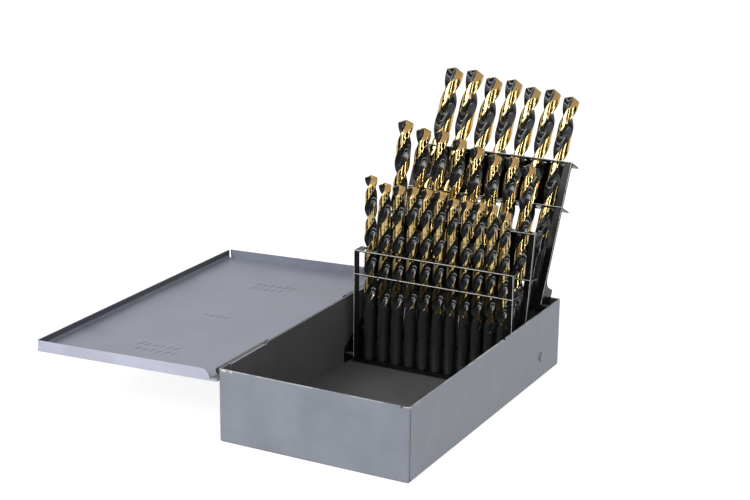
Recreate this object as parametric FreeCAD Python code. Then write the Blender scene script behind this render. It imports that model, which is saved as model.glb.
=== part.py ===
"""Folding drill index: a sheet steel case whose three tiered racks hold twist drills A to Z.

Origin at the centre of the case's underside, +X across the case with the lid hinged on the
-X wall, +Y towards the end where the racks stand, +Z up.  Modelled open, racks raised.
"""
import FreeCAD, Part
import math
import os

V = FreeCAD.Vector
X_AXIS = V(1, 0, 0)
Y_AXIS = V(0, 1, 0)
INCH = 25.4

# Case, folded from one blank
case_width = 108.0
case_length = 189.0
case_height = 39.5
case_sheet = 0.9
case_corner_radius = 1.3
corner_seam_width = 0.5
corner_seam_height = 3.6
latch_notch_width = 3.0
latch_notch_depth = 0.9
latch_from_near_end = 112.0
corner_relief_width = 1.6
corner_relief_depth = 0.8
corner_relief_inset = 5.5

# Lid, a shallow tray that closes over the outside of the walls
lid_sheet = 0.9
lid_flange_depth = 6.0
lid_side_clearance = 0.5
lid_top_clearance = 0.1
lid_corner_gap = 0.6
lid_flange_sweep = 5.0
lid_open_angle = 182.0
latch_bump_radius = 1.5
latch_bump_height = 0.35

# Hinges rolled from the rim of the case and the edge of the lid
hinge_pin_radius = 1.0
hinge_running_gap = 0.05
hinge_knuckle_wall = 0.9
hinge_wall_clearance = 0.35
hinge_below_rim = 2.9
hinge_inset = 4.0
hinge_lid_knuckle = 6.6
hinge_case_knuckle = 34.0
hinge_knuckle_gap = 0.35
hinge_slot_width = 1.0
hinge_slot_depth = 6.0

# Gusset plates inside the side walls, which carry the racks on stub pins
gusset_sheet = 1.2
gusset_below_rim = 1.0
gusset_front_height = 8.5
gusset_margin = 5.2
gusset_corner_clearance = 0.2
gusset_level_top = 10.0
gusset_corner_radius = 3.0
wall_rivet_radius = 1.5
wall_rivet_head_radius = 2.6
wall_rivet_head_height = 0.8
wall_rivet_height = 13.0
wall_rivet_facets = 12
wall_rivet_ahead_of_rear_pivot = 19.7
pivot_radius = 1.5
pivot_running_gap = 0.08
pivot_end_play = 0.3

# Racks, bent from thinner sheet
rack_sheet = 0.8
rack_side_clearance = 3.4
rack_pivot_above_base = 2.5
rack_floor_clearance = 1.3
rack_stack_gap = 0.65
rack_bend_radius = 1.6
rack_foot_height = 13.0
rack_web_inset = 6.3
leg_flange_depth = 1.7
leg_flare_radius = 5.0
drill_hole_clearance = 0.2
rear_pivot_from_far_end = 6.4

front_rack_depth = 10.0
front_rack_height = 65.6
front_rack_lower_shelf = 51.9
front_rack_lean = 0.0
front_rack_end_margin = 7.7
front_rack_leg_width = 3.0
front_rack_pivot_inset = 2.5
front_to_middle_pivot = 16.2

middle_rack_depth = 11.5
middle_rack_height = 71.6
middle_rack_lower_shelf = 46.0
middle_rack_lean = 10.0
middle_rack_end_margin = 9.7
middle_rack_leg_width = 3.2
middle_rack_pivot_inset = 2.5
middle_to_rear_pivot = 31.4

rear_rack_depth = 13.0
rear_rack_height = 85.0
rear_rack_lower_shelf = 58.6
rear_rack_lean = 27.0
rear_rack_end_margin = 10.4
rear_rack_leg_width = 4.2
rear_rack_pivot_inset = 10.4

# Twist drills
helix_angle = 31.5
point_angle = 135.0
flute_web_share = 0.36
flute_twist_step = 60.0
flute_land_share = 0.985
shank_facets = 10
hole_facets = 10
flute_seat = 0.5
drill_clock = 2.0

# Letter drills: diameter, overall length and flute length in inches
LETTER_DRILLS = {
    "a": (0.234, 3.875, 2.625),
    "b": (0.238, 4.000, 2.750),
    "c": (0.242, 4.000, 2.750),
    "d": (0.246, 4.000, 2.750),
    "e": (0.250, 4.000, 2.750),
    "f": (0.257, 4.125, 2.875),
    "g": (0.261, 4.125, 2.875),
    "h": (0.266, 4.125, 2.875),
    "i": (0.272, 4.125, 2.875),
    "j": (0.277, 4.125, 2.875),
    "k": (0.281, 4.250, 2.9375),
    "l": (0.290, 4.250, 2.9375),
    "m": (0.295, 4.375, 3.0625),
    "n": (0.302, 4.375, 3.0625),
    "o": (0.316, 4.500, 3.1875),
    "p": (0.323, 4.625, 3.3125),
    "q": (0.332, 4.750, 3.4375),
    "r": (0.339, 4.750, 3.4375),
    "s": (0.348, 4.875, 3.500),
    "t": (0.358, 4.875, 3.500),
    "u": (0.368, 5.000, 3.625),
    "v": (0.377, 5.000, 3.625),
    "w": (0.386, 5.125, 3.750),
    "x": (0.397, 5.125, 3.750),
    "y": (0.404, 5.250, 3.875),
    "z": (0.413, 5.250, 3.875),
}


class Rack:
    """One tier: a perforated channel on two legs, over the strip the drills stand on."""

    def __init__(self, name, letters, depth, top_shelf, lower_shelf, lean, end_margin,
                 leg_width, pivot_from_front, gap_to_next):
        self.name = name
        self.letters = letters
        self.depth = depth
        self.top_shelf = top_shelf
        self.lower_shelf = lower_shelf
        self.lean = lean
        self.end_margin = end_margin
        self.leg_width = leg_width
        self.pivot_from_front = pivot_from_front
        self.gap_to_next = gap_to_next
        self.pivot_y = 0.0
        self.pivot_z = 0.0


RACKS = [
    Rack("front_rack", "kjihgfedcba", front_rack_depth, front_rack_height,
         front_rack_lower_shelf, front_rack_lean, front_rack_end_margin,
         front_rack_leg_width, front_rack_pivot_inset, front_to_middle_pivot),
    Rack("middle_rack", "srqponml", middle_rack_depth, middle_rack_height,
         middle_rack_lower_shelf, middle_rack_lean, middle_rack_end_margin,
         middle_rack_leg_width, middle_rack_pivot_inset, middle_to_rear_pivot),
    Rack("rear_rack", "zyxwvut", rear_rack_depth, rear_rack_height,
         rear_rack_lower_shelf, rear_rack_lean, rear_rack_end_margin,
         rear_rack_leg_width, rear_rack_pivot_inset, 0.0),
]

# Derived places
half_width = case_width / 2
half_length = case_length / 2
wall_inner_x = half_width - case_sheet
gusset_inner_x = wall_inner_x - gusset_sheet
rack_outer_x = gusset_inner_x - rack_side_clearance
rack_inner_x = rack_outer_x - rack_sheet
knuckle_bore = hinge_pin_radius + hinge_running_gap
knuckle_radius = knuckle_bore + hinge_knuckle_wall
hinge_x = -half_width - hinge_wall_clearance - knuckle_radius
hinge_z = case_height - hinge_below_rim
lid_under = case_height + lid_top_clearance
latch_y = -half_length + latch_from_near_end


def place_racks():
    """Stack the folded racks up from the floor, and set the pivots back in steps."""
    level = case_sheet + rack_floor_clearance
    for rack in RACKS:
        rack.pivot_z = level + rack.pivot_from_front
        level += rack.depth + rack_stack_gap
    y = half_length - rear_pivot_from_far_end
    for rack in reversed(RACKS):
        y -= rack.gap_to_next
        rack.pivot_y = y


def box(x0, x1, y0, y1, z0, z1):
    return Part.makeBox(x1 - x0, y1 - y0, z1 - z0, V(x0, y0, z0))


def rod(radius, start, end):
    span = end - start
    return Part.makeCylinder(radius, span.Length, start, span)


def prism(radius, sides, z0, z1):
    """An upright many-sided prism."""
    ring = []
    for i in range(sides):
        a = 2 * math.pi * i / sides
        ring.append(V(radius * math.cos(a), radius * math.sin(a), z0))
    return Part.Face(Part.makePolygon(ring + ring[:1])).extrude(V(0, 0, z1 - z0))


def export(name, shape):
    shape = shape.removeSplitter()
    shape.exportStep("parts/%s.step" % name)


def upright_edges(shape, direction):
    """Straight edges that run along a direction."""
    found = []
    for edge in shape.Edges:
        run = edge.Vertexes[-1].Point - edge.Vertexes[0].Point
        if run.Length > 0 and abs(run.normalize().dot(direction)) > 0.999:
            found.append(edge)
    return found


def rounded_tub(x, y, z0, z1, radius):
    """A block with its four corners and its lower rim rounded."""
    block = box(-x, x, -y, y, z0, z1)
    block = block.makeFillet(radius, upright_edges(block, V(0, 0, 1)))
    low = [e for e in block.Edges if e.BoundBox.ZMax < z0 + 1e-6]
    return block.makeFillet(radius * 0.98, low)


def knuckle_spans():
    """Spans along Y of the lid, case and lid knuckles of the near and far hinges."""
    lid_first = hinge_inset
    case_first = lid_first + hinge_lid_knuckle + hinge_knuckle_gap
    lid_last = case_first + hinge_case_knuckle + hinge_knuckle_gap
    near = [(lid_first, hinge_lid_knuckle), (case_first, hinge_case_knuckle),
            (lid_last, hinge_lid_knuckle)]
    hinges = []
    for side in (-1, 1):
        spans = []
        for start, length in near:
            ends = (side * (half_length - start), side * (half_length - start - length))
            spans.append((min(ends), max(ends)))
        hinges.append(spans)
    return hinges


def tube(y0, y1):
    outer = rod(knuckle_radius, V(hinge_x, y0, hinge_z), V(hinge_x, y1, hinge_z))
    return outer.cut(rod(knuckle_bore, V(hinge_x, y0 - 1, hinge_z), V(hinge_x, y1 + 1, hinge_z)))


def make_case():
    tub = rounded_tub(half_width, half_length, 0, case_height, case_corner_radius)
    hollow = box(-wall_inner_x, wall_inner_x, case_sheet - half_length, half_length - case_sheet,
                 case_sheet, case_height + 1)
    hollow = hollow.makeFillet(case_corner_radius - case_sheet,
                               upright_edges(hollow, V(0, 0, 1)))
    case = tub.cut(hollow)
    strap_top = hinge_z + knuckle_radius
    for spans in knuckle_spans():
        y0, y1 = spans[1]
        slots = []
        for edge in (y0 - hinge_slot_width, y1):
            slots.append(box(-half_width - 1, -wall_inner_x + 0.4, edge, edge + hinge_slot_width,
                             case_height - hinge_slot_depth, case_height + 1))
        rim = box(-half_width - 1, -wall_inner_x + 0.4, y0, y1, strap_top, case_height + 1)
        strap = box(hinge_x, -wall_inner_x, y0, y1, hinge_z + knuckle_bore, strap_top)
        case = case.cut(Part.makeCompound(slots + [rim]))
        case = case.fuse([tube(y0, y1), strap])
    notch = box(wall_inner_x - 0.1, half_width + 1, latch_y - latch_notch_width / 2,
                latch_y + latch_notch_width / 2, case_height - latch_notch_depth, case_height + 1)
    relief_x = half_width - corner_relief_inset
    relief = box(relief_x, relief_x + corner_relief_width, -half_length - 1,
                 -half_length + case_sheet + 0.1, case_height - corner_relief_depth,
                 case_height + 1)
    for side in (-1, 1):
        case = case.cut(rivet_bar(side, wall_rivet_radius, wall_inner_x - 1, half_width + 1))
    seams = []
    for sx in (-1, 1):
        for sy in (-1, 1):
            x = sorted((sx * (half_width - case_sheet - 0.1), sx * (half_width + 1)))
            y = sorted((sy * (half_length - case_sheet - corner_seam_width),
                        sy * (half_length - case_sheet)))
            seams.append(box(x[0], x[1], y[0], y[1], case_sheet + corner_seam_width,
                             corner_seam_height))
    return case.cut([notch, relief] + seams)


def swept_flange(y0, y1):
    """An end flange of the closed lid, swept up in a quarter round beside the hinge."""
    x0 = -half_width
    x1 = half_width + lid_side_clearance - lid_corner_gap
    z1 = lid_under + lid_sheet
    z0 = z1 - lid_flange_depth
    r = min(lid_flange_sweep, lid_flange_depth - lid_sheet)
    c = math.cos(math.radians(45))
    arc = Part.Arc(V(x0, y0, z0 + r), V(x0 + r * (1 - c), y0, z0 + r * (1 - c)), V(x0 + r, y0, z0))
    edges = [arc.toShape()]
    corners = [V(x0 + r, y0, z0), V(x1, y0, z0), V(x1, y0, z1), V(x0, y0, z1), V(x0, y0, z0 + r)]
    for a, b in zip(corners, corners[1:]):
        edges.append(Part.makeLine(a, b))
    return Part.Face(Part.Wire(edges)).extrude(V(0, y1 - y0, 0))


def make_lid():
    z1 = lid_under + lid_sheet
    edge_x = hinge_x - knuckle_radius
    free_x = half_width + lid_side_clearance
    end_y = half_length + lid_side_clearance
    panel = box(edge_x, free_x + lid_sheet, -end_y - lid_sheet, end_y + lid_sheet, lid_under, z1)
    corner = [e for e in upright_edges(panel, V(0, 0, 1)) if e.BoundBox.XMin > 0]
    panel = panel.makeFillet(case_corner_radius, corner)
    pieces = [swept_flange(-end_y - lid_sheet, -end_y), swept_flange(end_y, end_y + lid_sheet)]
    free_flange = box(free_x, free_x + lid_sheet, -end_y + lid_corner_gap, end_y - lid_corner_gap,
                      z1 - lid_flange_depth, z1)
    pieces.append(free_flange)
    pieces.append(box(edge_x, edge_x + hinge_knuckle_wall, -half_length + hinge_inset,
                      half_length - hinge_inset, hinge_z + knuckle_radius, z1))
    for spans in knuckle_spans():
        for y0, y1 in (spans[0], spans[2]):
            pieces.append(tube(y0, y1))
            pieces.append(box(edge_x, edge_x + hinge_knuckle_wall, y0, y1, hinge_z, z1))
    lid = panel.fuse(pieces)
    bump_z = z1 - lid_flange_depth / 2 - lid_sheet / 2
    ball_radius = (latch_bump_radius ** 2 + latch_bump_height ** 2) / (2 * latch_bump_height)
    ball_x = free_x - latch_bump_height + ball_radius
    bump = Part.makeSphere(ball_radius, V(ball_x, latch_y, bump_z))
    bump = bump.common(box(free_x - 1, free_x + lid_sheet / 2, latch_y - 3, latch_y + 3,
                           bump_z - 3, bump_z + 3))
    lid = lid.fuse(bump)
    lid.rotate(V(hinge_x, 0, hinge_z), Y_AXIS, -lid_open_angle)
    return lid


def make_hinge_pin(spans):
    y0 = spans[0][0]
    y1 = spans[0][1]
    for low, high in spans:
        y0 = min(y0, low)
        y1 = max(y1, high)
    return rod(hinge_pin_radius, V(hinge_x, y0, hinge_z), V(hinge_x, y1, hinge_z))


def rivet_y():
    return RACKS[-1].pivot_y - wall_rivet_ahead_of_rear_pivot


def rivet_bar(side, radius, x0, x1):
    """A stretch of a wall rivet between two distances from the case's middle."""
    bar = prism(radius, wall_rivet_facets, x0, x1)
    bar.rotate(V(0, 0, 0), Y_AXIS, side * 90)
    bar.translate(V(0, rivet_y(), wall_rivet_height))
    return bar


def make_gusset(side):
    """A sloping plate against one side wall, drilled for the three stub pins and its rivet."""
    front = RACKS[0]
    x = side * wall_inner_x
    top = case_height - gusset_below_rim
    y0 = front.pivot_y - gusset_margin
    y1 = half_length - case_corner_radius - gusset_corner_clearance
    foot = case_sheet
    corners = [V(x, y0, foot), V(x, y1, foot), V(x, y1, top), V(x, y1 - gusset_level_top, top),
               V(x, y0, foot + gusset_front_height)]
    plate = Part.Face(Part.makePolygon(corners + corners[:1]))
    plate = plate.extrude(V(-side * gusset_sheet, 0, 0))
    upper = [e for e in upright_edges(plate, X_AXIS) if e.BoundBox.ZMin > foot + 1]
    plate = plate.makeFillet(gusset_corner_radius, upper)
    for rack in RACKS:
        plate = plate.cut(rod(pivot_radius, V(x + side, rack.pivot_y, rack.pivot_z),
                              V(x - side * 5, rack.pivot_y, rack.pivot_z)))
    return plate.cut(rivet_bar(side, wall_rivet_radius, gusset_inner_x - 1, wall_inner_x + 1))


def make_pivot_pin(rack, side):
    """A stub pin held in the gusset, on which one leg of a rack turns."""
    start = V(side * wall_inner_x, rack.pivot_y, rack.pivot_z)
    end = V(side * (rack_inner_x - pivot_end_play), rack.pivot_y, rack.pivot_z)
    return rod(pivot_radius, start, end)


def make_wall_rivet(side):
    """A rivet with a low flat head that holds the gusset to the wall."""
    shank = rivet_bar(side, wall_rivet_radius, gusset_inner_x, half_width)
    head = rivet_bar(side, wall_rivet_head_radius, half_width, half_width + wall_rivet_head_height)
    return shank.fuse(head)


def channel_block(rack, inset):
    """The outside of a rack's channel, or with an inset the hollow that is open to the front."""
    front = -rack.pivot_from_front
    base = -rack_pivot_above_base
    x = rack_outer_x + inset
    block = box(-x, x, front - inset, front + rack.depth - inset,
                base + rack.lower_shelf - rack_sheet + inset, base + rack.top_shelf - inset)
    back = [e for e in upright_edges(block, X_AXIS) if e.BoundBox.YMin > front + rack.depth / 2]
    return block.makeFillet(rack_bend_radius - inset, back)


def make_leg(rack, side):
    """An angle leg: a strip across the front and a flange that flares into foot and shelf."""
    front = -rack.pivot_from_front
    back = front + rack.depth
    base = -rack_pivot_above_base
    top = base + rack.top_shelf
    under = top - rack_sheet / 2
    narrow = front + leg_flange_depth
    foot_top = base + rack_foot_height
    r = leg_flare_radius
    c = r * (1 - math.cos(math.radians(45)))
    x = side * rack_inner_x
    start = V(x, narrow, foot_top + r)
    low = Part.Arc(start, V(x, narrow + c, foot_top + c), V(x, narrow + r, foot_top))
    high = Part.Arc(V(x, narrow + r, under), V(x, narrow + c, under - c), V(x, narrow, under - r))
    edges = [low.toShape()]
    corners = [V(x, narrow + r, foot_top), V(x, back, foot_top), V(x, back, base),
               V(x, front, base), V(x, front, under), V(x, narrow + r, under)]
    for a, b in zip(corners, corners[1:]):
        edges.append(Part.makeLine(a, b))
    edges += [high.toShape(), Part.makeLine(V(x, narrow, under - r), start)]
    flange = Part.Face(Part.Wire(edges)).extrude(V(side * rack_sheet, 0, 0))
    xs = sorted((side * (rack_outer_x - rack.leg_width), side * rack_outer_x))
    strip = box(xs[0], xs[1], front, front + rack_sheet, base, under)
    hole = rod(pivot_radius + pivot_running_gap, V(x - side, 0, 0), V(x + 2 * side, 0, 0))
    return flange.cut(hole).fuse(strip)


def drill_places(rack):
    """Letter and x of each drill, with equal gaps between them from end margin to end margin."""
    radii = [LETTER_DRILLS[letter][0] * INCH / 2 for letter in rack.letters]
    span = 2 * (rack_outer_x - rack.end_margin)
    steel = sum(a + b for a, b in zip(radii, radii[1:]))
    gap = (span - steel) / (len(radii) - 1)
    x = -span / 2
    places = [(rack.letters[0], x)]
    for letter, a, b in zip(rack.letters[1:], radii, radii[1:]):
        x += a + gap + b
        places.append((letter, x))
    return places


def to_case(shape, rack):
    """Take a shape from a rack's own frame, with its pivot at the origin, to the case."""
    shape.rotate(V(0, 0, 0), X_AXIS, -rack.lean)
    shape.translate(V(0, rack.pivot_y, rack.pivot_z))
    return shape


def make_rack(rack):
    front = -rack.pivot_from_front
    back = front + rack.depth
    base = -rack_pivot_above_base
    top = base + rack.top_shelf
    holes = []
    for letter, x in drill_places(rack):
        radius = LETTER_DRILLS[letter][0] * INCH / 2 + drill_hole_clearance
        middle = front + rack.depth / 2
        hole = prism(radius / math.cos(math.pi / hole_facets), hole_facets, base + rack_sheet + 1,
                     top + 1)
        hole.rotate(V(0, 0, 0), V(0, 0, 1), 180 / hole_facets)
        hole.translate(V(x, middle, 0))
        holes.append(hole)
    channel = channel_block(rack, 0).cut(channel_block(rack, rack_sheet))
    for side in (-1, 1):
        xs = sorted((side * (rack_outer_x - rack_web_inset), side * (rack_outer_x + 1)))
        holes.append(box(xs[0], xs[1], front + rack.depth / 2, back + 1,
                         base + rack.lower_shelf, top - rack_sheet))
    channel = channel.cut(Part.makeCompound(holes))
    pieces = [box(-rack_inner_x, rack_inner_x, front, back, base, base + rack_sheet)]
    pieces += [make_leg(rack, side) for side in (-1, 1)]
    return to_case(channel.fuse(pieces), rack)


def flute_section(radius, turn, z):
    """Eight corners of a two-flute section, turned about the drill's axis."""
    corners = []
    for share, angle in ((flute_web_share, 0), (1, 45), (1, 90), (1, 135),
                         (flute_web_share, 180), (1, 225), (1, 270), (1, 315)):
        a = math.radians(angle + turn)
        corners.append(V(share * radius * math.cos(a), share * radius * math.sin(a), z))
    return corners


def triangle(a, b, c):
    return Part.Face(Part.makePolygon([a, b, c, a]))


def make_flutes(radius, start, shoulder, tip):
    """The fluted body as a twisted prism with a pointed end."""
    lead = math.pi * 2 * radius / math.tan(math.radians(helix_angle))
    steps = max(2, round((shoulder - start) / lead * 360 / flute_twist_step))
    sections = []
    for i in range(steps + 1):
        z = start + (shoulder - start) * i / steps
        sections.append(flute_section(radius * flute_land_share, (z - tip) / lead * 360, z))
    faces = [Part.Face(Part.makePolygon(sections[0] + sections[0][:1]))]
    for lower, upper in zip(sections, sections[1:]):
        for i in range(8):
            j = (i + 1) % 8
            faces.append(triangle(lower[i], lower[j], upper[j]))
            faces.append(triangle(lower[i], upper[j], upper[i]))
    apex = V(0, 0, tip)
    for i in range(8):
        faces.append(triangle(sections[-1][i], sections[-1][(i + 1) % 8], apex))
    shell = Part.makeShell(faces)
    solid = Part.makeSolid(shell)
    if solid.Volume < 0:
        solid.reverse()
    return solid


def make_drill(rack, letter, x):
    diameter, overall, flutes = [size * INCH for size in LETTER_DRILLS[letter]]
    radius = diameter / 2
    shoulder = overall - radius / math.tan(math.radians(point_angle / 2))
    shank_end = overall - flutes
    shank = prism(radius, shank_facets, 0, shank_end)
    drill = shank.fuse(make_flutes(radius, shank_end - flute_seat, shoulder, overall))
    drill.rotate(V(0, 0, 0), V(0, 0, 1), drill_clock)
    drill.translate(V(x, rack.depth / 2 - rack.pivot_from_front,
                      rack_sheet - rack_pivot_above_base))
    return to_case(drill, rack)


def main():
    os.makedirs("parts", exist_ok=True)
    place_racks()
    export("case_body", make_case())
    export("lid", make_lid())
    for end, spans in zip(("near", "far"), knuckle_spans()):
        export("hinge_pin_%s" % end, make_hinge_pin(spans))
    for hand, side in (("left", -1), ("right", 1)):
        export("gusset_%s" % hand, make_gusset(side))
        export("wall_rivet_%s" % hand, make_wall_rivet(side))
        for rack in RACKS:
            export("%s_pivot_%s" % (rack.name, hand), make_pivot_pin(rack, side))
    for rack in RACKS:
        export(rack.name, make_rack(rack))
        for letter, x in drill_places(rack):
            export("drill_%s" % letter, make_drill(rack, letter, x))


main()
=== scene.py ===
"""Looks of the folding drill index: enamelled case and lid, black racks, twist drills A to Z."""
import math
from functools import partialmethod

import bmesh
import bpy
from mathutils import Matrix, Quaternion, Vector


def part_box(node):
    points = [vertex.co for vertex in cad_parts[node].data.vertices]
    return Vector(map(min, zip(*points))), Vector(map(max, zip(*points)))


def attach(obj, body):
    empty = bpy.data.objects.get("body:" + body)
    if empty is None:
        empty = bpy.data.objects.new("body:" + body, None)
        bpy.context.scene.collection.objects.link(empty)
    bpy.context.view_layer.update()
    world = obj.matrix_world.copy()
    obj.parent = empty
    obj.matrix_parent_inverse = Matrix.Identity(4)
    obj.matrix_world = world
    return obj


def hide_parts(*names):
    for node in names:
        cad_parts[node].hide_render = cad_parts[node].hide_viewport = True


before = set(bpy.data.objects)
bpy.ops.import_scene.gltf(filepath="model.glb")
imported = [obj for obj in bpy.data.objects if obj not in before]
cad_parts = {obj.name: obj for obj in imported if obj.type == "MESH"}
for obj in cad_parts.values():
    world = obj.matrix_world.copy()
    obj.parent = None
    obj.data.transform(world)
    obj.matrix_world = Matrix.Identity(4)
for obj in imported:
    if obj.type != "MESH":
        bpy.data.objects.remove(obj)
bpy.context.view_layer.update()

MM = 0.001

# Camera: angles in degrees, lens and sensor in millimetres, reach in metres
CAMERA_PLACE = Vector((405.5, -802.0, 359.0)) * MM
CAMERA_AZIMUTH = 27.69
CAMERA_TILT = 16.96
CAMERA_ROLL = 0.64
CAMERA_LENS = 85.6
CAMERA_SENSOR = 36.0
CAMERA_REACH = 20.0

# Case and lid, in millimetres and degrees
CASE_SHEET = 0.9
LID_SHEET = 0.9
LID_OPEN_ANGLE = 182.0
LID_HINGE = (-56.3, 0.0, 36.6)
LID_PANEL_BELOW_HINGE = 3.0

# Racks, in millimetres and degrees: the letters, helix and clock of their drills, then their own
# lean and sizes, with the end drills' distance from the ends and the pivot's from the front
RACKS = {
    "front_rack": dict(letters="kjihgfedcba", helix=32.6, clock=94.0, lean=0.0, height=65.6,
                       depth=10.0, lower_shelf=51.9, end_margin=7.7, pivot_inset=2.5),
    "middle_rack": dict(letters="srqponml", helix=31.7, clock=93.0, lean=10.0, height=71.6,
                        depth=11.5, lower_shelf=46.0, end_margin=9.7, pivot_inset=2.5),
    "rear_rack": dict(letters="zyxwvut", helix=28.8, clock=100.0, lean=27.0, height=85.0,
                      depth=13.0, lower_shelf=58.6, end_margin=10.4, pivot_inset=10.4),
}
RACK_SHEET = 0.8
RACK_PIVOT_ABOVE_FOOT = 2.5
CLOCK_SCATTER = 4.0
CLOCK_SCATTER_STEP = 2.3

# Twist drills: diameter, overall length and flute length of each letter, in inches
INCH = 25.4
DRILL_SIZES = {
    "a": (0.234, 3.875, 2.625), "b": (0.238, 4.000, 2.750), "c": (0.242, 4.000, 2.750),
    "d": (0.246, 4.000, 2.750), "e": (0.250, 4.000, 2.750), "f": (0.257, 4.125, 2.875),
    "g": (0.261, 4.125, 2.875), "h": (0.266, 4.125, 2.875), "i": (0.272, 4.125, 2.875),
    "j": (0.277, 4.125, 2.875), "k": (0.281, 4.250, 2.9375), "l": (0.290, 4.250, 2.9375),
    "m": (0.295, 4.375, 3.0625), "n": (0.302, 4.375, 3.0625), "o": (0.316, 4.500, 3.1875),
    "p": (0.323, 4.625, 3.3125), "q": (0.332, 4.750, 3.4375), "r": (0.339, 4.750, 3.4375),
    "s": (0.348, 4.875, 3.500), "t": (0.358, 4.875, 3.500), "u": (0.368, 5.000, 3.625),
    "v": (0.377, 5.000, 3.625), "w": (0.386, 5.125, 3.750), "x": (0.397, 5.125, 3.750),
    "y": (0.404, 5.250, 3.875), "z": (0.413, 5.250, 3.875),
}

# Shape of a drill: lengths as shares of its radius, angles in degrees, slopes as ratios
POINT_ANGLE = 135.0
TIP_HEIGHT = 2.4
FOOT_CHAMFER = 0.12
FLUTE_WEB = 0.24
FLUTE_LIP = 42.0
FLUTE_HEEL = 58.0
FLUTE_STEEPEST = 89.0
RUN_OUT_BELOW_FLUTE = 1.6
RUN_OUT_LENGTH = 3.4
GOLD_ABOVE_RUN_OUT = 2.4
MARGIN_WIDTH = 14.0
MARGIN_STEP = 10.0
BACK_CLEARANCE = 0.025
HEEL_ROUND_START = 73.0
HEEL_ROUND_WIDTH = 10.0
HEEL_ROUND_DEPTH = 0.04
LIP_RELIEF = 3.0
FLANK_WIDTH = 0.11
FLANK_STEEP = 2.0
FLANK_LEAST_SLOPE = 0.05
FLANK_END = 160.0
OUT_OF_REACH = 2.0

# Mesh of a drill: columns around it, rows of its foot and tip, and the twist of a row, in degrees
DRILL_COLUMNS = 72
FOOT_ROWS = 3
TIP_ROWS = 36
TWIST_PER_ROW = 11.0

# Tolerances, in radians at the lip and else in metres, and the share of a face's corners that a
# finish needs
LIP_TOLERANCE = 0.01
ROW_TOLERANCE = 0.00001
WELD_DISTANCE = 0.000005
FINISH_SHARE = 0.6

# Angles in degrees past which an edge stays crisp
DRILL_CREASE = 32.0
STROKE_CREASE = 60.0

# Pressed strokes of the lid, in millimetres and radians: y, number and shift of each row first
STROKE_ROWS = ((-64.0, 6, 0.0), (-71.5, 6, 3.0), (-8.0, 4, 0.0), (46.0, 5, 0.0), (53.5, 6, 2.0))
STROKE_PITCH = 4.6
STROKE_LENGTH = 5.2
STROKE_LENGTH_SCATTER = 0.12
STROKE_LENGTH_STEP = 1.3
STROKE_HALF_WIDTH = 0.22
STROKE_HEIGHT = 0.12
STROKE_SLANT = 0.5
STROKE_SLANT_SCATTER = 0.07
STROKE_SLANT_STEP = 2.1
STROKE_ROW_SEED = 1.7

# Paints, as colours on screen
GREY_ENAMEL = (0.545, 0.565, 0.61)
# Painted shade: the inside of the case, darker than the enamel outside
GREY_INSIDE_PAINTED_SHADE = (0.335, 0.335, 0.34)
LID_INSIDE = (0.51, 0.525, 0.575)
# Painted light: the outside faces of the lid's flanges, lighter than its inside
LID_OUTSIDE_PAINTED_LIGHT = (0.76, 0.77, 0.84)
# Painted shade: the inside of the lid's free flange
LID_FLANGE_PAINTED_SHADE = (0.27, 0.275, 0.30)
# Painted shade on the hinges and the left rim; the same dark also draws the seam lines near the case's
# corners
HINGE_PAINTED_SHADE_AND_SEAM_TONE = (0.20, 0.205, 0.21)
# Rim of the near and right walls: worn light, and lighter still as a painted highlight
RIM_WEAR_AND_HIGHLIGHT = (0.70, 0.72, 0.72)
# Painted shade: raised strokes drawn dark as if pressed in and shadowed
STROKE_PAINTED_SHADE = (0.27, 0.28, 0.31)
BLACK_ENAMEL = (0.085, 0.085, 0.085)
# Bare sheet metal of the chipped case corners, and of the racks' cut edges, where it is partly a painted
# highlight
BARE_EDGE_AND_HIGHLIGHT = (0.86, 0.86, 0.84)
PIN_STEEL = (0.62, 0.62, 0.60)
BLACK_OXIDE = (0.14, 0.145, 0.145)
GOLD_COAT = (0.82, 0.72, 0.48)
GROUND_GOLD = (0.70, 0.57, 0.37)

# Shares to which clouds and grain darken a colour and flecks lighten it, and how far flecks cover it
GREY_CLOUD = 0.92
TONE_CLOUD = 0.94
BLACK_CLOUD = 0.8
METAL_GRAIN = 0.88
FLECK_LIGHT = 1.15
FLECK_STRENGTH = 0.12

# Roughness, as shares of its own for metals, and the depth of the orange peel in metres
ENAMEL_ROUGHNESS = (0.36, 0.46)
ENAMEL_PEEL = 0.00004
BLACK_ROUGHNESS = (0.16, 0.26)
BLACK_SPECULAR = 0.14
BLACK_PEEL = 0.00002
BARE_ROUGHNESS = (0.45, 0.45, 0.45, 1.0)
METAL_GLOSS = (0.8, 1.3)

# Values of a noise between which a pattern goes from none to all
CLOUD_SPAN = (0.35, 0.65)
GLOSS_SPAN = (0.3, 0.7)
FLECK_SPAN = (0.62, 0.72)
TONE_SPAN = (0.45, 0.56)
BARE_SPAN = (0.3, 0.42)

# Numbers of a Mix node's sockets for colours
MIX_INPUTS = (0, 6, 7)
MIX_OUTPUT = 2

# Noise scales that break up a tone: none, rubbed patches or small chips
UNBROKEN = 0.0
RUBBED = 90.0
CHIPPED = 320.0

# Lamps, in metres and watts, with the azimuths of the strips in degrees
KEY_LAMP = dict(place=(-0.62, -0.74, 0.85), size=(0.7, 0.7), power=8.6, aim=(0, 0, 0.04))
SIDE_LAMP = dict(place=(1.2, -0.2, 0.9), size=(0.8, 0.8), power=1.0, aim=(0, 0, 0.04))
STRIP_LAMPS = {"left": -98, "middle": -60, "right": -8}
STRIP_DISTANCE = 1.2
STRIP_HEIGHT = 0.62
STRIP_SIZE = (0.05, 1.2)
STRIP_POWER = 3.0

# Dark cards: azimuth and width of each in degrees, then reach and height of their edges in metres
CARDS = ((-150, 40), (-81, 24), (-36, 36), (22, 30))
CARD_START = (0.26, 0.003)
CARD_FOOT = (1.5, 0.02)
CARD_TOP = (1.5, 1.6)
CARD_BLACK = (0.005, 0.005, 0.005, 1)

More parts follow.
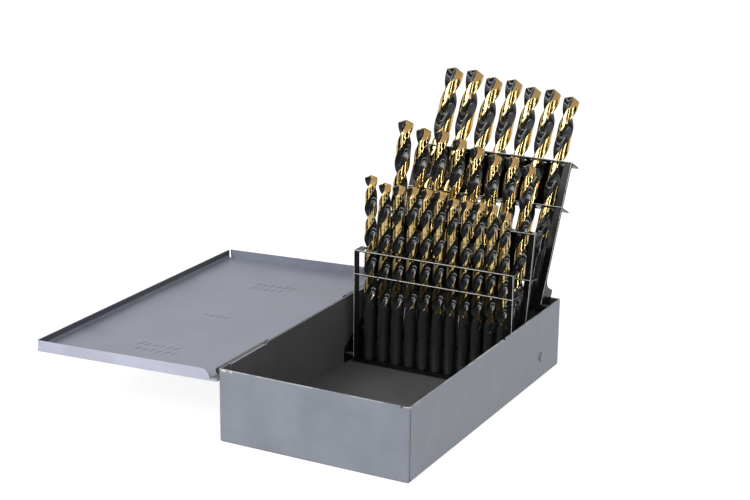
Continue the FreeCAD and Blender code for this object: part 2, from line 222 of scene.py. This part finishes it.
# Floor and world: sizes in metres, colours as a shader takes them, and strengths of light
FLOOR_REACH = 6.0
FLOOR_DROP = 0.0002
FLOOR_GREY = (0.35, 0.35, 0.35, 1)
FLOOR_GLOW = 0.88
WHITE = (1, 1, 1, 1)
WORLD_LIGHT = 0.5


def linear(colour, share=1.0):
    """Screen colour, made darker or lighter by the share, as the linear colour of a shader."""
    screen = [min(1.0, c * share) for c in colour]
    parts = [c / 12.92 if c <= 0.04045 else ((c + 0.055) / 1.055) ** 2.4 for c in screen]
    return (*parts, 1.0)


def add_object(name, data):
    """A new object in the scene."""
    made = bpy.data.objects.new(name, data)
    bpy.context.scene.collection.objects.link(made)
    return made


# ---------------------------------------------------------------- node helpers

def feed(tree, socket, value):
    """Links a field or a socket to an input, or sets the input to a plain value."""
    if isinstance(value, Field):
        value = value.socket
    if isinstance(value, bpy.types.NodeSocket):
        tree.links.new(value, socket)
    else:
        socket.default_value = value


def add_node(tree, kind, inputs, **settings):
    """A new node with its settings, and its inputs fed by name or by number."""
    made = tree.nodes.new(kind)
    for key, value in settings.items():
        setattr(made, key, value)
    for key, value in inputs.items():
        feed(tree, made.inputs[key], value)
    return made


def vector(tree, *parts):
    """A vector socket from three numbers or fields."""
    return add_node(tree, "ShaderNodeCombineXYZ", dict(enumerate(parts))).outputs[0]


class Field:
    """A number flowing through a node tree, written like arithmetic."""

    def __init__(self, tree, socket):
        self.tree = tree
        self.socket = socket

    def node(self, operation, *values):
        inputs = dict(enumerate((self, *values)))
        made = add_node(self.tree, "ShaderNodeMath", inputs, operation=operation)
        return Field(self.tree, made.outputs[0])

    __add__ = __radd__ = partialmethod(node, "ADD")
    __sub__ = partialmethod(node, "SUBTRACT")
    __mul__ = __rmul__ = partialmethod(node, "MULTIPLY")
    __truediv__ = partialmethod(node, "DIVIDE")
    min = partialmethod(node, "MINIMUM")
    max = partialmethod(node, "MAXIMUM")
    above = partialmethod(node, "GREATER_THAN")
    below = partialmethod(node, "LESS_THAN")
    sin = partialmethod(node, "SINE")
    cos = partialmethod(node, "COSINE")
    abs = partialmethod(node, "ABSOLUTE")
    round = partialmethod(node, "ROUND")

    def __rsub__(self, other):
        return self * -1.0 + other

    def clamp(self, low, high):
        return self.max(low).min(high)

    def wrap(self, low, high):
        return self.node("WRAP", high, low)

    def ease(self):
        """0 to 1 as this goes from 0 to 1, flat at both ends."""
        share = self.clamp(0.0, 1.0)
        return share * share * (3.0 - 2.0 * share)

    def choose(self, if_one, if_zero):
        """if_one where this is 1, if_zero where it is 0."""
        return self * (if_one - if_zero) + if_zero


def new_tree(name, kinds):
    """A Geometry Nodes tree with inputs of the given kinds, and a field for each input."""
    tree = bpy.data.node_groups.new(name, "GeometryNodeTree")
    tree.interface.new_socket("Geometry", in_out="OUTPUT", socket_type="NodeSocketGeometry")
    for label, kind in kinds.items():
        tree.interface.new_socket(label, in_out="INPUT", socket_type="NodeSocket" + kind)
    entry = tree.nodes.new("NodeGroupInput")
    return tree, {label: Field(tree, entry.outputs[label]) for label in kinds}


def grow(tree, name, **values):
    """The plain mesh object that a tree makes for the given inputs."""
    seed = add_object(name + "_seed", bpy.data.meshes.new(name + "_seed"))
    modifier = seed.modifiers.new("grow", "NODES")
    modifier.node_group = tree
    for item in tree.interface.items_tree:
        key = item.name.lower().replace(" ", "_")
        if item.in_out == "INPUT" and key in values:
            modifier[item.identifier] = values[key]
    graph = bpy.context.evaluated_depsgraph_get()
    mesh = bpy.data.meshes.new_from_object(seed.evaluated_get(graph))
    bpy.data.objects.remove(seed)
    mesh.name = name
    return add_object(name, mesh)


def shade(mesh, angle):
    """Smooth shading with edges sharper than the angle left crisp."""
    mesh.polygons.foreach_set("use_smooth", [True] * len(mesh.polygons))
    mesh.set_sharp_from_angle(angle=math.radians(angle))


# ---------------------------------------------------------------- materials

def new_material(name):
    """A material with its node tree and its shader."""
    material = bpy.data.materials.new(name)
    material.use_nodes = True
    tree = material.node_tree
    return material, tree, tree.nodes["Principled BSDF"]


def object_place(tree):
    return tree.nodes.new("ShaderNodeTexCoord").outputs["Object"]


def noise(tree, place, scale, detail):
    inputs = {"Vector": place, "Scale": scale, "Detail": detail}
    return add_node(tree, "ShaderNodeTexNoise", inputs).outputs["Fac"]


def spread(tree, value, span, to=(0.0, 1.0)):
    """The value's run over a span, stretched to run over another."""
    inputs = dict(enumerate((value, *span, *to)))
    return add_node(tree, "ShaderNodeMapRange", inputs).outputs[0]


def blend_colour(tree, factor, first, second):
    """The first colour where the factor is 0, the second where it is 1."""
    inputs = dict(zip(MIX_INPUTS, (factor, first, second)))
    return add_node(tree, "ShaderNodeMix", inputs, data_type="RGBA").outputs[MIX_OUTPUT]


def clouded(tree, cloud, colour, darkest):
    """A colour that a soft cloud darkens to the given share."""
    return blend_colour(tree, spread(tree, cloud, CLOUD_SPAN), linear(colour, darkest), linear(colour))


def bump(tree, shader, height, distance):
    made = add_node(tree, "ShaderNodeBump", {"Height": height, "Distance": distance})
    tree.links.new(made.outputs["Normal"], shader.inputs["Normal"])


def inside_boxes(tree, place, boxes):
    """1 within any of the boxes, given as pairs of corners in millimetres."""
    axes = add_node(tree, "ShaderNodeSeparateXYZ", {0: place})
    x, y, z = [Field(tree, output) for output in axes.outputs]
    found = None
    for low, high in boxes:
        within = [axis.above(a * MM) * axis.below(b * MM) for axis, a, b in zip((x, y, z), low, high)]
        mask = within[0] * within[1] * within[2]
        found = mask if found is None else found.max(mask)
    return found


def enamel(name, base, tones):
    """Satin enamel with a fine orange peel; each further tone fills its boxes, unbroken or worn."""
    material, tree, shader = new_material(name)
    place = object_place(tree)
    cloud = noise(tree, place, scale=45.0, detail=3.0)
    paint = clouded(tree, cloud, base, GREY_CLOUD)
    for colour, boxes, breakup in tones:
        mask = inside_boxes(tree, place, boxes)
        if breakup:
            worn = spread(tree, noise(tree, place, breakup, detail=4.0), TONE_SPAN)
            mask = mask * Field(tree, worn)
        paint = blend_colour(tree, mask, paint, clouded(tree, cloud, colour, TONE_CLOUD))
    speck = noise(tree, place, scale=1500.0, detail=1.0)
    flecks = spread(tree, speck, FLECK_SPAN, (0.0, FLECK_STRENGTH))
    paint = blend_colour(tree, flecks, paint, linear(base, FLECK_LIGHT))
    feed(tree, shader.inputs["Base Color"], paint)
    feed(tree, shader.inputs["Roughness"], spread(tree, cloud, GLOSS_SPAN, ENAMEL_ROUGHNESS))
    bump(tree, shader, noise(tree, place, scale=900.0, detail=2.0), ENAMEL_PEEL)
    return material


def black_paint(name, boxes=(), place_of=None):
    """Gloss black enamel, near-white within the boxes of a rack's own frame: bare cut edges, partly a
    painted highlight.
    """
    material, tree, shader = new_material(name)
    shader.inputs["Specular IOR Level"].default_value = BLACK_SPECULAR
    place = object_place(tree)
    cloud = noise(tree, place, scale=60.0, detail=3.0)
    paint = clouded(tree, cloud, BLACK_ENAMEL, BLACK_CLOUD)
    rough = spread(tree, cloud, GLOSS_SPAN, BLACK_ROUGHNESS)
    if boxes:
        own = add_node(tree, "ShaderNodeMapping", {
            "Vector": place, "Location": place_of.to_translation(), "Rotation": place_of.to_euler()},
            vector_type="TEXTURE")
        # Painted highlight, partly bare metal, along the rack's cut front edges
        edge = inside_boxes(tree, own.outputs[0], boxes)
        worn = spread(tree, noise(tree, place, scale=260.0, detail=3.0), BARE_SPAN)
        bare = edge * Field(tree, worn)
        paint = blend_colour(tree, bare, paint, linear(BARE_EDGE_AND_HIGHLIGHT))
        rough = blend_colour(tree, bare, rough, BARE_ROUGHNESS)
    feed(tree, shader.inputs["Base Color"], paint)
    feed(tree, shader.inputs["Roughness"], rough)
    bump(tree, shader, noise(tree, place, scale=700.0, detail=2.0), BLACK_PEEL)
    return material


def metal(name, colour, roughness, metallic=1.0, specular=0.5):
    """A metal or its coating, with a fine grain in its colour and its gloss."""
    material, tree, shader = new_material(name)
    shader.inputs["Metallic"].default_value = metallic
    shader.inputs["Specular IOR Level"].default_value = specular
    cloud = noise(tree, object_place(tree), scale=900.0, detail=2.0)
    grain = spread(tree, cloud, GLOSS_SPAN)
    tone = blend_colour(tree, grain, linear(colour, METAL_GRAIN), linear(colour))
    feed(tree, shader.inputs["Base Color"], tone)
    rough = [roughness * share for share in METAL_GLOSS]
    feed(tree, shader.inputs["Roughness"], spread(tree, cloud, GLOSS_SPAN, rough))
    return material


# ---------------------------------------------------------------- twist drills

def drill_heights(given, row, rows):
    """Height of each row: foot, fluted body, then closer and closer rows up the point."""
    radius, length, flute_rows = given["Radius"], given["Length"], given["Flute Rows"]
    tip = radius * TIP_HEIGHT
    flute_foot = length - given["Flute Length"] - radius * RUN_OUT_BELOW_FLUTE
    body_step = (length - tip - flute_foot) / flute_rows
    body = flute_foot + (row - FOOT_ROWS).clamp(0.0, flute_rows) * body_step
    to_tip = ((rows - 1.0 - row) / (TIP_ROWS - 1)).clamp(0.0, 1.0)
    in_tip = row.above(flute_rows + FOOT_ROWS - 0.5)
    height = in_tip.choose(length - tip * to_tip * to_tip, body)
    in_foot = row.below(FOOT_ROWS - 0.5)
    height = in_foot.choose(row.above(1.5) * (radius * FOOT_CHAMFER), height)
    return height.min(length), flute_foot, in_foot


def drill_land(radius, behind, full):
    """Land behind the lip: margin, a soft step down to the cleared back, and a rounded heel."""
    step = ((behind - math.radians(MARGIN_WIDTH)) / math.radians(MARGIN_STEP)).ease()
    heel = (behind - math.radians(HEEL_ROUND_START)) / math.radians(HEEL_ROUND_WIDTH)
    heel = heel.clamp(0.0, 1.0)
    cleared = 1.0 - BACK_CLEARANCE * step - HEEL_ROUND_DEPTH * heel * heel
    return radius * full.choose(1.0, cleared)


def drill_flute(radius, above_foot, phi, lip, heel):
    """Flute, which runs out into the shank."""
    web = radius * (1.0 - (1.0 - FLUTE_WEB) * (above_foot / (radius * RUN_OUT_LENGTH)).ease())
    steepness = phi.below(0.0).choose(math.acos(FLUTE_WEB) / lip, math.acos(FLUTE_WEB) / heel)
    return web / (phi.abs() * steepness).min(math.radians(FLUTE_STEEPEST)).cos()


def drill_point(radius, depth, behind):
    """Point: a narrow relieved flank along each lip, then a steep one down to the heel."""
    rise = 1.0 / math.tan(math.radians(POINT_ANGLE / 2))
    relieved = depth / (rise + behind * math.tan(math.radians(LIP_RELIEF)))
    slope = (behind.cos() * rise + behind.sin() * FLANK_STEEP).max(FLANK_LEAST_SLOPE)
    steep = (depth + radius * (FLANK_STEEP * FLANK_WIDTH)) / slope
    past_flank = behind.above(math.radians(FLANK_END))
    return relieved.min(past_flank.choose(radius * OUT_OF_REACH, steep))


def finish_drill(tree, given, mesh, place, marks):
    """The grid moved to its places and welded, with each marked part in its own finish."""
    for name, value in marks.items():
        mesh = add_node(tree, "GeometryNodeStoreNamedAttribute",
                        {"Geometry": mesh, "Name": name, "Value": value},
                        data_type="FLOAT", domain="POINT").outputs["Geometry"]
    shape = add_node(tree, "GeometryNodeSetPosition", {"Geometry": mesh, "Position": place})
    weld = add_node(tree, "GeometryNodeMergeByDistance",
                    {"Geometry": shape.outputs[0], "Distance": WELD_DISTANCE})
    mesh = add_node(tree, "GeometryNodeRealizeInstances", {0: weld.outputs[0]}).outputs[0]
    mesh = add_node(tree, "GeometryNodeSetMaterial",
                    {"Geometry": mesh, "Material": given["Black Oxide"]}).outputs[0]
    for label, name in (("Gold Land", "gold"), ("Ground Point", "ground")):
        named = add_node(tree, "GeometryNodeInputNamedAttribute", {"Name": name}, data_type="FLOAT")
        chosen = Field(tree, named.outputs["Attribute"]).above(FINISH_SHARE)
        mesh = add_node(tree, "GeometryNodeSetMaterial",
                        {"Geometry": mesh, "Selection": chosen, "Material": given[label]}).outputs[0]
    add_node(tree, "NodeGroupOutput", {0: mesh})


def drill_tree():
    """One twist drill, foot at the origin and point up: each radius is the least of its limits."""
    tree, given = new_tree("twist_drill", {
        "Radius": "Float", "Length": "Float", "Flute Length": "Float", "Clock": "Float",
        "Flute Rows": "Float", "Lead": "Float", "Black Oxide": "Material", "Gold Land": "Material",
        "Ground Point": "Material"})
    radius, length = given["Radius"], given["Length"]
    rows = given["Flute Rows"] + (FOOT_ROWS + TIP_ROWS)
    grid = add_node(tree, "GeometryNodeMeshGrid", {"Vertices X": DRILL_COLUMNS + 1, "Vertices Y": rows})
    position = tree.nodes.new("GeometryNodeInputPosition").outputs[0]
    flat = add_node(tree, "ShaderNodeSeparateXYZ", {0: position})
    around = (Field(tree, flat.outputs[0]) + 0.5) * (2 * math.pi)
    row = ((Field(tree, flat.outputs[1]) + 0.5) * (rows - 1.0)).round()
    height, flute_foot, in_foot = drill_heights(given, row, rows)

    # Angle from the middle of the nearest flute, from -90 to 90 degrees, lip side negative
    turn = (height.max(flute_foot) - length) / given["Lead"] * (2 * math.pi)
    phi = around.wrap(-math.pi / 2, math.pi / 2)
    lip, heel = math.radians(FLUTE_LIP), math.radians(FLUTE_HEEL)
    past_lip = phi.above(-lip - LIP_TOLERANCE)
    behind = past_lip.choose(math.pi - lip - phi, -lip - phi).max(0.0)

    # Limits of the radius, with the foot closed by a first row of no radius
    full = in_foot.max(height.below(flute_foot + ROW_TOLERANCE))
    flute = drill_flute(radius, height - flute_foot, phi, lip, heel)
    point = drill_point(radius, length - height, behind)
    chamfered = row.below(1.5).choose(radius - radius * FOOT_CHAMFER, radius * OUT_OF_REACH)
    closed = row.above(0.5).choose(radius * OUT_OF_REACH, 0.0)
    body = drill_land(radius, behind, full).min(closed).min(chamfered)
    reach = body.min(flute).min(point).max(0.0)

    gold_foot = flute_foot + radius * GOLD_ABOVE_RUN_OUT
    marks = {"gold": body.below(flute) * height.above(gold_foot),
             "ground": point.below(body.min(flute))}
    angle = around + turn + given["Clock"]
    place = vector(tree, reach * angle.cos(), reach * angle.sin(), height)
    finish_drill(tree, given, grid.outputs["Mesh"], place, marks)
    return tree


def rack_place(name):
    """Matrix from a rack's own frame, pivot at the origin, to the case."""
    low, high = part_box(name + "_pivot_left")
    pivot = (low + high) / 2
    lean = Matrix.Rotation(math.radians(-RACKS[name]["lean"]), 4, "X")
    return Matrix.Translation((0, pivot.y, pivot.z)) @ lean


def rack_half_width(name):
    """Half of a rack's width, in millimetres."""
    low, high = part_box(name)
    return (high.x - low.x) / 2 / MM


def drill_spots(name):
    """Letter and x of each drill of a rack, with equal gaps between them, in millimetres."""
    rack = RACKS[name]
    radii = [DRILL_SIZES[letter][0] * INCH / 2 for letter in rack["letters"]]
    span = 2 * (rack_half_width(name) - rack["end_margin"])
    gap = (span - sum(a + b for a, b in zip(radii, radii[1:]))) / (len(radii) - 1)
    x = -span / 2
    spots = [(rack["letters"][0], x)]
    for letter, a, b in zip(rack["letters"][1:], radii, radii[1:]):
        x += a + gap + b
        spots.append((letter, x))
    return spots


def make_drills(tree, oxide, gold, ground):
    """The drills of all racks, each turned a little differently about its axis."""
    for name, rack in RACKS.items():
        for i, (letter, x) in enumerate(drill_spots(name)):
            diameter, overall, fluted = [size * INCH * MM for size in DRILL_SIZES[letter]]
            lead = math.pi * diameter / math.tan(math.radians(rack["helix"]))
            rows = round(fluted / lead * 360 / TWIST_PER_ROW)
            scatter = CLOCK_SCATTER * math.sin(CLOCK_SCATTER_STEP * i + len(name))
            clock = math.radians(rack["clock"] + scatter)
            drill = grow(tree, "twist_drill_" + letter, radius=diameter / 2, length=overall,
                         flute_length=fluted, clock=clock, flute_rows=float(rows), lead=lead,
                         black_oxide=oxide, gold_land=gold, ground_point=ground)
            seat = Matrix.Translation(Vector((x, rack["depth"] / 2 - rack["pivot_inset"],
                                              RACK_SHEET - RACK_PIVOT_ABOVE_FOOT)) * MM)
            drill.data.transform(rack_place(name) @ seat)
            shade(drill.data, DRILL_CREASE)
            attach(drill, name)
            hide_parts("drill_" + letter)


# ---------------------------------------------------------------- tones of the sheet metal

def case_tones():
    """Further tones of the case: painted shade inside it, on the hinge and on the left rim, dark seams,
    a light worn rim that is partly a painted highlight, and bare corners.
    """
    _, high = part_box("case_body")
    wide, deep, tall = high.x / MM, high.y / MM, high.z / MM
    out, hair = 1.0, 0.1
    skin = CASE_SHEET - 0.3
    inside_drop, left_drop, chip_drop = 0.3, 0.4, 1.1
    front_rim, right_rim = 1.2, 1.5
    left_chip, right_chip, chip_out = 8.0, 7.0, 0.5
    hinge_reach = 9.0
    # Painted shade over the case's floor and inner walls
    inside = ((-wide + skin, -deep + skin, skin), (wide - skin, deep - skin, tall - inside_drop))
    # Painted shade over the hinge outside the left wall, and over the left rim
    hinge = ((-wide - hinge_reach, -deep, tall - hinge_reach), (-wide - hair, deep, tall + out))
    left = ((-wide - out, -deep + front_rim, tall - left_drop), (-wide + skin + hair, deep, tall + out))
    # Near and right rims: wear and a painted highlight
    front = ((-wide - out, -deep - out, tall - inside_drop), (wide + out, -deep + front_rim, tall + out))
    right = ((wide - right_rim, -deep + front_rim, tall - inside_drop), (wide + out, deep, tall + out))
    chips = []
    for x0, x1 in ((-wide - chip_out, -wide + left_chip), (wide - right_chip, wide + chip_out)):
        chips.append(((x0, -deep - out, tall - chip_drop), (x1, -deep + front_rim, tall + out)))
    return [(GREY_INSIDE_PAINTED_SHADE, [inside], UNBROKEN), (HINGE_PAINTED_SHADE_AND_SEAM_TONE, [hinge, left], UNBROKEN),
            (RIM_WEAR_AND_HIGHLIGHT, [front, right], RUBBED), (BARE_EDGE_AND_HIGHLIGHT, chips, CHIPPED),
            (HINGE_PAINTED_SHADE_AND_SEAM_TONE, corner_seams(wide, deep, tall), UNBROKEN)]


def corner_seams(wide, deep, tall):
    """Boxes of the fine upright lines near the corners of the case, where its walls meet."""
    depth, before, after = 0.4, 0.3, 0.1
    out, ends = 1.0, 1.0
    seams = []
    for side in (-1, 1):
        for end in (-1, 1):
            x = sorted((side * (wide - depth), side * (wide + out)))
            y = sorted((end * (deep - CASE_SHEET - before), end * (deep - CASE_SHEET + after)))
            seams.append(((x[0], y[0], ends), (x[1], y[1], tall - ends)))
    return seams


def lid_tones():
    """Further tones of the open lid: outside faces painted lighter as painted light, the free flange
    darker as painted shade, the hinge edge dark as painted shade.
    """
    low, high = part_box("lid")
    x0, y0, z0 = low / MM
    x1, y1, z1 = high / MM
    out = 1.0
    skin = LID_SHEET * 0.6
    flange_foot, flange_width = 3.0, 2.2
    hinge_width, hinge_inset = 5.0, 3.0
    # Painted light on the outside faces of the flanges
    outside = [((x0 - out, y0 - out, z0 - out), (x1 + out, y0 + skin, z1 + out)),
               ((x0 - out, y1 - skin, z0 - out), (x1 + out, y1 + out, z1 + out)),
               ((x0 - out, y0 - out, z0 - out), (x0 + skin, y1 + out, z1 + out))]
    # Painted shade on the inside of the free flange
    flange = ((x0 + skin, y0 + skin, z0 + flange_foot), (x0 + flange_width, y1 - skin, z1 + out))
    # Painted shade along the lid's hinge edge
    hinge = ((x1 - hinge_width, y0 + hinge_inset, z0 - out), (x1 + out, y1 - hinge_inset, z1 + out))
    return [(LID_OUTSIDE_PAINTED_LIGHT, outside, UNBROKEN), (LID_FLANGE_PAINTED_SHADE, [flange], UNBROKEN),
            (HINGE_PAINTED_SHADE_AND_SEAM_TONE, [hinge], UNBROKEN)]


def bare_and_highlit_edges(name):
    """Boxes on the cut front edges of a rack, in its own frame, in millimetres: bare edges drawn
    near-white, partly as a painted highlight.
    """
    rack = RACKS[name]
    front = -rack["pivot_inset"]
    foot = -RACK_PIVOT_ABOVE_FOOT
    outer = rack_half_width(name)
    out = 0.1
    shelf_line, shelf_depth, shelf_over = 0.26, 0.3, 0.05
    side_line, side_depth, side_foot = 0.2, 0.2, 2.0
    boxes = []
    for top in (rack["height"], rack["lower_shelf"]):
        boxes.append(((-outer - out, front - out, foot + top - shelf_line),
                      (outer + out, front + shelf_depth, foot + top + shelf_over)))
    for side in (-1, 1):
        x = sorted((side * (outer - side_line), side * (outer + out)))
        boxes.append(((x[0], front - out, foot + side_foot),
                      (x[1], front + side_depth, foot + rack["height"])))
    return boxes


# ---------------------------------------------------------------- pressed strokes of the lid

def stroke_tree():
    """A row of short raised strokes, each an oval ridge with its own slant."""
    tree, given = new_tree("pressed_strokes", {
        "Count": "Int", "Pitch": "Float", "Length": "Float", "Seed": "Float", "Finish": "Material"})
    index = Field(tree, tree.nodes.new("GeometryNodeInputIndex").outputs[0])
    slant = (index * STROKE_SLANT_STEP + given["Seed"]).sin() * STROKE_SLANT_SCATTER - STROKE_SLANT
    share = 0.5 + STROKE_LENGTH_SCATTER * (index * STROKE_LENGTH_STEP + given["Seed"]).cos()
    size = (STROKE_HALF_WIDTH * MM, given["Length"] * share, STROKE_HEIGHT * MM)
    step = vector(tree, given["Pitch"], 0.0, 0.0)
    line = add_node(tree, "GeometryNodeMeshLine", {"Count": given["Count"], "Offset": step})
    ridge = add_node(tree, "GeometryNodeMeshUVSphere", {"Segments": 10, "Rings": 6, "Radius": 1.0})
    strokes = add_node(tree, "GeometryNodeInstanceOnPoints", {
        "Points": line.outputs[0], "Instance": ridge.outputs["Mesh"],
        "Rotation": vector(tree, 0.0, 0.0, slant), "Scale": vector(tree, *size)})
    mesh = add_node(tree, "GeometryNodeRealizeInstances", {0: strokes.outputs[0]}).outputs[0]
    finish = add_node(tree, "GeometryNodeSetMaterial", {"Geometry": mesh, "Material": given["Finish"]})
    add_node(tree, "NodeGroupOutput", {0: finish.outputs[0]})
    return tree


def make_strokes(finish):
    """Rows of plain pressed strokes down the middle of the lid's inside."""
    low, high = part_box("lid")
    middle = (low.x + high.x) / 2
    slope = Matrix.Rotation(math.radians(180.0 - LID_OPEN_ANGLE), 4, "Y")
    hinge = Vector(LID_HINGE) * MM
    pitch = STROKE_PITCH * MM
    tree = stroke_tree()
    joined = bmesh.new()
    for i, (y, count, shift) in enumerate(STROKE_ROWS):
        row = grow(tree, "stroke_row", count=count, pitch=pitch, length=STROKE_LENGTH * MM,
                   seed=i * STROKE_ROW_SEED, finish=finish)
        x = middle + shift * MM - hinge.x - pitch * (count - 1) / 2
        on_panel = Matrix.Translation((x, y * MM, -LID_PANEL_BELOW_HINGE * MM))
        row.data.transform(Matrix.Translation(hinge) @ slope @ on_panel)
        joined.from_mesh(row.data)
        bpy.data.objects.remove(row)
    mesh = bpy.data.meshes.new("lid_strokes")
    joined.to_mesh(mesh)
    joined.free()
    mesh.materials.append(finish)
    marks = add_object("lid_strokes", mesh)
    shade(mesh, STROKE_CREASE)
    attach(marks, "lid")


# ---------------------------------------------------------------- dressing the CAD nodes

def dress(node_name, material):
    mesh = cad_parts[node_name].data
    mesh.materials.clear()
    mesh.materials.append(material)


def dress_metalwork():
    """Enamel on the case and lid, black on gussets and racks, steel on pins and pivots."""
    grey = enamel("grey_enamel_case", GREY_ENAMEL, case_tones())
    black = black_paint("black_gloss_enamel")
    steel = metal("pin_steel", PIN_STEEL, roughness=0.3)
    dress("case_body", grey)
    dress("lid", enamel("grey_enamel_lid", LID_INSIDE, lid_tones()))
    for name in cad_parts:
        if name.startswith("wall_rivet"):
            dress(name, grey)
        elif name.startswith("gusset"):
            dress(name, black)
        elif name.startswith("hinge_pin") or "pivot" in name:
            dress(name, steel)
        elif name.endswith("_rack"):
            dress(name, black_paint("black_enamel_" + name, bare_and_highlit_edges(name), rack_place(name)))


# ---------------------------------------------------------------- studio

def add_camera():
    data = bpy.data.cameras.new("camera")
    data.lens = CAMERA_LENS
    data.sensor_width = CAMERA_SENSOR
    data.clip_end = CAMERA_REACH
    camera = add_object("camera", data)
    camera.location = CAMERA_PLACE
    camera.rotation_mode = "QUATERNION"
    camera.rotation_quaternion = (Quaternion((0, 0, 1), math.radians(CAMERA_AZIMUTH))
                                  @ Quaternion((1, 0, 0), math.radians(90 - CAMERA_TILT))
                                  @ Quaternion((0, 0, 1), math.radians(CAMERA_ROLL)))
    bpy.context.scene.camera = camera


def add_lamp(name, place, size, power, aim):
    """A rectangular lamp turned to where it is aimed."""
    data = bpy.data.lights.new(name, "AREA")
    data.shape = "RECTANGLE"
    data.size, data.size_y = size
    data.energy = power
    lamp = add_object(name, data)
    lamp.location = place
    lamp.rotation_mode = "QUATERNION"
    lamp.rotation_quaternion = (Vector(aim) - Vector(place)).to_track_quat("-Z", "Y")


def add_lamps():
    add_lamp("key_lamp", **KEY_LAMP)
    add_lamp("side_lamp", **SIDE_LAMP)
    for name, azimuth in STRIP_LAMPS.items():
        turn = math.radians(azimuth)
        place = (STRIP_DISTANCE * math.cos(turn), STRIP_DISTANCE * math.sin(turn), STRIP_HEIGHT)
        add_lamp("strip_lamp_" + name, place, STRIP_SIZE, STRIP_POWER, (0, 0, STRIP_HEIGHT))


def seen_directly(tree):
    """1 for camera, glossy and transmission rays."""
    path = tree.nodes.new("ShaderNodeLightPath")
    camera, glossy, through = [Field(tree, path.outputs["Is %s Ray" % kind])
                               for kind in ("Camera", "Glossy", "Transmission")]
    return camera.max(glossy).max(through)


def add_world():
    """White where it is seen, and a plain level of light elsewhere."""
    world = bpy.data.worlds.new("studio")
    bpy.context.scene.world = world
    world.use_nodes = True
    tree = world.node_tree
    back = tree.nodes["Background"]
    back.inputs["Color"].default_value = WHITE
    feed(tree, back.inputs["Strength"], seen_directly(tree).choose(1.0, WORLD_LIGHT))


def add_floor():
    """A pale floor just under the case, which keeps its shadow."""
    mesh = bpy.data.meshes.new("floor")
    corners = [(x * FLOOR_REACH, y * FLOOR_REACH, 0) for x, y in ((-1, -1), (1, -1), (1, 1), (-1, 1))]
    mesh.from_pydata(corners, [], [(0, 1, 2, 3)])
    floor = add_object("floor", mesh)
    floor.location.z = -FLOOR_DROP
    material, tree, shader = new_material("white_sweep")
    shader.inputs["Base Color"].default_value = FLOOR_GREY
    shader.inputs["Roughness"].default_value = 0.9
    shader.inputs["Specular IOR Level"].default_value = 0.0
    shader.inputs["Emission Color"].default_value = WHITE
    feed(tree, shader.inputs["Emission Strength"], seen_directly(tree) * FLOOR_GLOW)
    mesh.materials.append(material)


def add_card(name, azimuth, width):
    """A dark card, along the floor and then upright, which only reflections show."""
    corners = []
    for reach, z in (CARD_START, CARD_FOOT, CARD_TOP):
        for side in (-1, 1):
            turn = math.radians(azimuth) + side * math.radians(width / 2)
            corners.append((reach * math.cos(turn), reach * math.sin(turn), z))
    mesh = bpy.data.meshes.new(name)
    mesh.from_pydata(corners, [], [(0, 1, 3, 2), (2, 3, 5, 4)])
    card = add_object(name, mesh)
    material, _, shader = new_material(name)
    shader.inputs["Base Color"].default_value = CARD_BLACK
    shader.inputs["Specular IOR Level"].default_value = 0.0
    mesh.materials.append(material)
    for ray in ("camera", "diffuse", "transmission", "shadow"):
        setattr(card, "visible_" + ray, False)


def main():
    bpy.context.scene.view_settings.view_transform = "Standard"
    add_camera()
    dress_metalwork()
    oxide = metal("black_oxide", BLACK_OXIDE, roughness=0.13, metallic=0.0, specular=0.6)
    gold = metal("gold_nitride", GOLD_COAT, roughness=0.1)
    ground = metal("ground_gold", GROUND_GOLD, roughness=0.36)
    make_drills(drill_tree(), oxide, gold, ground)
    # The strokes' dark enamel is painted shade of pressed marks
    make_strokes(enamel("grey_enamel_strokes", STROKE_PAINTED_SHADE, tones=()))
    add_world()
    add_floor()
    add_lamps()
    for i, (azimuth, width) in enumerate(CARDS):
        add_card("dark_card_%d" % (i + 1), azimuth, width)


main()
